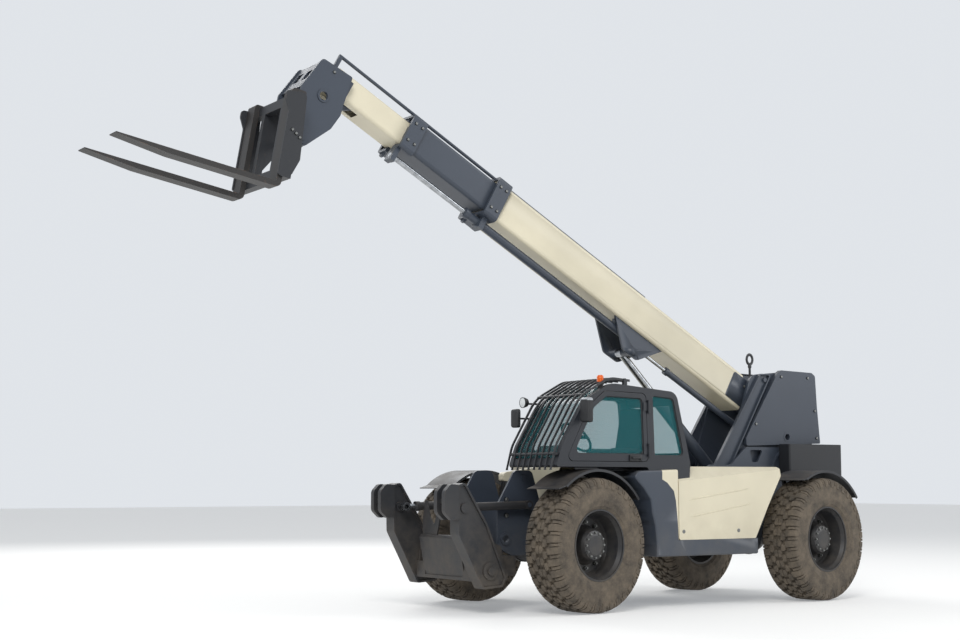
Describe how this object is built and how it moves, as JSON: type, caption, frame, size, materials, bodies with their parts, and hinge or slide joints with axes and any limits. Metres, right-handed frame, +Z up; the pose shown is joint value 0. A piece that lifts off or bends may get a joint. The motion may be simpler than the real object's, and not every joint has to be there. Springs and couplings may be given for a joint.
{
  "type": "telehandler",
  "caption": "Telescopic handler with a three-section boom at rest half raised, pallet forks, side cab, four steered wheels and folded front stabilisers",
  "frame": {"origin": "on the ground, midway along the parked length and on the machine's centre plane", "axes": "+X forward towards the fork tips, +Y to the machine's left, +Z up"},
  "size_m": [8.439, 2.4876, 5.2152],
  "materials": {
    "cream_paint": "satin",
    "slate_paint": "satin",
    "black_paint": "matte",
    "rim_paint": "satin",
    "tyre_rubber": "matte",
    "chrome_rod": "polished",
    "fork_steel": "worn",
    "cast_iron": "matte",
    "tinted_glass": "clear",
    "seat_fabric": "matte",
    "dark_plastic": "matte",
    "lamp_plastic": "gloss"
  },
  "bodies": {
    "machine": {"chassis": "black_paint", "axle_front": "black_paint", "axle_rear": "black_paint", "engine": "cast_iron", "engine_bay": "black_paint", "tower": "slate_paint", "counterweight": "black_paint", "body_left": "black_paint", "panel_left": "cream_paint", "cab": "slate_paint", "cab_glass": "tinted_glass", "guard_grille": "black_paint", "seat": "seat_fabric", "console": "dark_plastic", "lamps": "lamp_plastic", "mirrors": "dark_plastic", "stabiliser_frame": "black_paint"},
    "steer_fl": {"knuckle_fl": "black_paint"},
    "wheel_fl": {"tyre_fl": "tyre_rubber", "rim_fl": "rim_paint"},
    "steer_fr": {"knuckle_fr": "black_paint"},
    "wheel_fr": {"tyre_fr": "tyre_rubber", "rim_fr": "rim_paint"},
    "steer_rl": {"knuckle_rl": "black_paint"},
    "wheel_rl": {"tyre_rl": "tyre_rubber", "rim_rl": "rim_paint"},
    "steer_rr": {"knuckle_rr": "black_paint"},
    "wheel_rr": {"tyre_rr": "tyre_rubber", "rim_rr": "rim_paint"},
    "boom": {"boom_base": "cream_paint", "base_collar": "slate_paint", "extension_barrel": "slate_paint"},
    "boom_middle": {"boom_mid": "slate_paint", "extension_rod": "chrome_rod"},
    "boom_inner": {"boom_fly": "cream_paint", "boom_head": "slate_paint"},
    "fork_frame": {"carriage": "black_paint", "forks": "fork_steel"},
    "lift_cylinder": {"lift_barrel": "slate_paint"},
    "lift_piston": {"lift_rod": "chrome_rod"},
    "comp_cylinder": {"comp_barrel": "slate_paint"},
    "comp_piston": {"comp_rod": "chrome_rod"},
    "tilt_cylinder": {"tilt_barrel": "slate_paint"},
    "tilt_piston": {"tilt_rod": "chrome_rod"},
    "leg_l_cylinder": {"leg_l_barrel": "black_paint"},
    "leg_l_piston": {"leg_l_rod": "chrome_rod"},
    "leg_r_cylinder": {"leg_r_barrel": "black_paint"},
    "leg_r_piston": {"leg_r_rod": "chrome_rod"},
    "stabiliser_l": {"leg_l": "black_paint"},
    "stabiliser_r": {"leg_r": "black_paint"},
    "cab_door": {"door": "slate_paint", "door_glass": "tinted_glass"},
    "engine_hood": {"hood": "cream_paint"}
  },
  "joints": [
    {"name": "steer_fl", "type": "hinge", "parent": "machine", "child": "steer_fl", "pos_m": [-0.2495, 0.75, 0.63], "axis": [0, 0, 1], "range_deg": [-41, 23]},
    {"name": "spin_fl", "type": "hinge", "parent": "steer_fl", "child": "wheel_fl", "pos_m": [-0.28079, 0.94754, 0.63], "axis": [-0.1564, 0.9877, 0], "continuous": true},
    {"name": "steer_fr", "type": "hinge", "parent": "machine", "child": "steer_fr", "pos_m": [-0.2495, -0.75, 0.63], "axis": [0, 0, 1], "range_deg": [-41, 23]},
    {"name": "spin_fr", "type": "hinge", "parent": "steer_fr", "child": "wheel_fr", "pos_m": [-0.21821, -0.94754, 0.63], "axis": [-0.1564, 0.9877, 0], "continuous": true},
    {"name": "steer_rl", "type": "hinge", "parent": "machine", "child": "steer_rl", "pos_m": [-3.2295, 0.75, 0.63], "axis": [0, 0, 1], "range_deg": [-41, 23]},
    {"name": "spin_rl", "type": "hinge", "parent": "steer_rl", "child": "wheel_rl", "pos_m": [-3.26079, 0.94754, 0.63], "axis": [-0.1564, 0.9877, 0], "continuous": true},
    {"name": "steer_rr", "type": "hinge", "parent": "machine", "child": "steer_rr", "pos_m": [-3.2295, -0.75, 0.63], "axis": [0, 0, 1], "range_deg": [-41, 23]},
    {"name": "spin_rr", "type": "hinge", "parent": "steer_rr", "child": "wheel_rr", "pos_m": [-3.19821, -0.94754, 0.63], "axis": [-0.1564, 0.9877, 0], "continuous": true},
    {"name": "boom_lift", "type": "hinge", "parent": "machine", "child": "boom", "pos_m": [-3.6095, 0, 1.86], "axis": [0, -1, 0], "range_deg": [-31.3, 40.7]},
    {"name": "extend_middle", "type": "slide", "parent": "boom", "child": "boom_middle", "axis": [0.8721, 0, 0.4894], "range_m": [-0.9, 1.15]},
    {"name": "extend_inner", "type": "slide", "parent": "boom_middle", "child": "boom_inner", "axis": [0.8721, 0, 0.4894], "range_m": [-0.5, 2.4]},
    {"name": "fork_tilt", "type": "hinge", "parent": "boom_inner", "child": "fork_frame", "pos_m": [2.38834, 0, 4.33141], "axis": [0, 1, 0], "range_deg": [-8, 100]},
    {"name": "lift_swing", "type": "hinge", "parent": "machine", "child": "lift_cylinder", "pos_m": [-3.0395, -0.035, 1.05], "axis": [0, -1, 0], "range_deg": [-29.54, 38.02]},
    {"name": "lift_stroke", "type": "slide", "parent": "lift_cylinder", "child": "lift_piston", "axis": [0.7125, 0, 0.7017], "range_m": [-0.5299, 0.6821]},
    {"name": "comp_swing", "type": "hinge", "parent": "machine", "child": "comp_cylinder", "pos_m": [-3.3845, 0.095, 1.604], "axis": [0, -1, 0], "range_deg": [-33.31, 42.88]},
    {"name": "comp_stroke", "type": "slide", "parent": "comp_cylinder", "child": "comp_piston", "axis": [0.8717, 0, 0.49], "range_m": [-0.1863, 0.2398]},
    {"name": "tilt_swing", "type": "hinge", "parent": "boom_inner", "child": "tilt_cylinder", "pos_m": [1.57931, 0, 4.77183], "axis": [0, -1, 0], "range_deg": [-13.33, 1.33]},
    {"name": "tilt_stroke", "type": "slide", "parent": "tilt_cylinder", "child": "tilt_piston", "axis": [0.9917, 0, -0.1284], "range_m": [-0.0495, 0.4979]},
    {"name": "stabiliser_l", "type": "hinge", "parent": "machine", "child": "stabiliser_l", "pos_m": [0.6005, 0.58, 0.4], "axis": [0, 1, 0], "range_deg": [0, 78]},
    {"name": "leg_l_swing", "type": "hinge", "parent": "machine", "child": "leg_l_cylinder", "pos_m": [0.0105, 0.415, 1], "axis": [0, -1, 0], "range_deg": [-30.1, 0.59]},
    {"name": "leg_l_stroke", "type": "slide", "parent": "leg_l_cylinder", "child": "leg_l_piston", "axis": [0.9997, 0, -0.023], "range_m": [-0.0125, 0.6385]},
    {"name": "stabiliser_r", "type": "hinge", "parent": "machine", "child": "stabiliser_r", "pos_m": [0.6005, -0.58, 0.4], "axis": [0, 1, 0], "range_deg": [0, 78]},
    {"name": "leg_r_swing", "type": "hinge", "parent": "machine", "child": "leg_r_cylinder", "pos_m": [0.0105, -0.415, 1], "axis": [0, -1, 0], "range_deg": [-30.1, 0.59]},
    {"name": "leg_r_stroke", "type": "slide", "parent": "leg_r_cylinder", "child": "leg_r_piston", "axis": [0.9997, 0, -0.023], "range_m": [-0.0125, 0.6385]},
    {"name": "door", "type": "hinge", "parent": "machine", "child": "cab_door", "pos_m": [-0.9395, 1.093, 1.7], "axis": [0, 0, 1], "range_deg": [0, 90]},
    {"name": "hood", "type": "hinge", "parent": "machine", "child": "engine_hood", "pos_m": [-1.7395, -0.392, 1.508], "axis": [-1, 0, 0], "range_deg": [0, 70]}
  ],
  "couplings": [
    {"joint": "steer_fr", "follows": "steer_fl", "ratio": 1},
    {"joint": "steer_rr", "follows": "steer_rl", "ratio": 1},
    {"joint": "lift_swing", "follows": "boom_lift", "ratio": 0.90228},
    {"joint": "lift_stroke", "follows": "boom_lift", "m_per_rad": 0.92737},
    {"joint": "comp_swing", "follows": "boom_lift", "ratio": 1.0175},
    {"joint": "comp_stroke", "follows": "boom_lift", "m_per_rad": 0.32604},
    {"joint": "tilt_swing", "follows": "fork_tilt", "ratio": -0.13047},
    {"joint": "tilt_stroke", "follows": "fork_tilt", "m_per_rad": 0.27924},
    {"joint": "leg_l_swing", "follows": "stabiliser_l", "ratio": -0.37836},
    {"joint": "leg_l_stroke", "follows": "stabiliser_l", "m_per_rad": 0.45983},
    {"joint": "leg_r_swing", "follows": "stabiliser_r", "ratio": -0.37836},
    {"joint": "leg_r_stroke", "follows": "stabiliser_r", "m_per_rad": 0.45983}
  ]
}
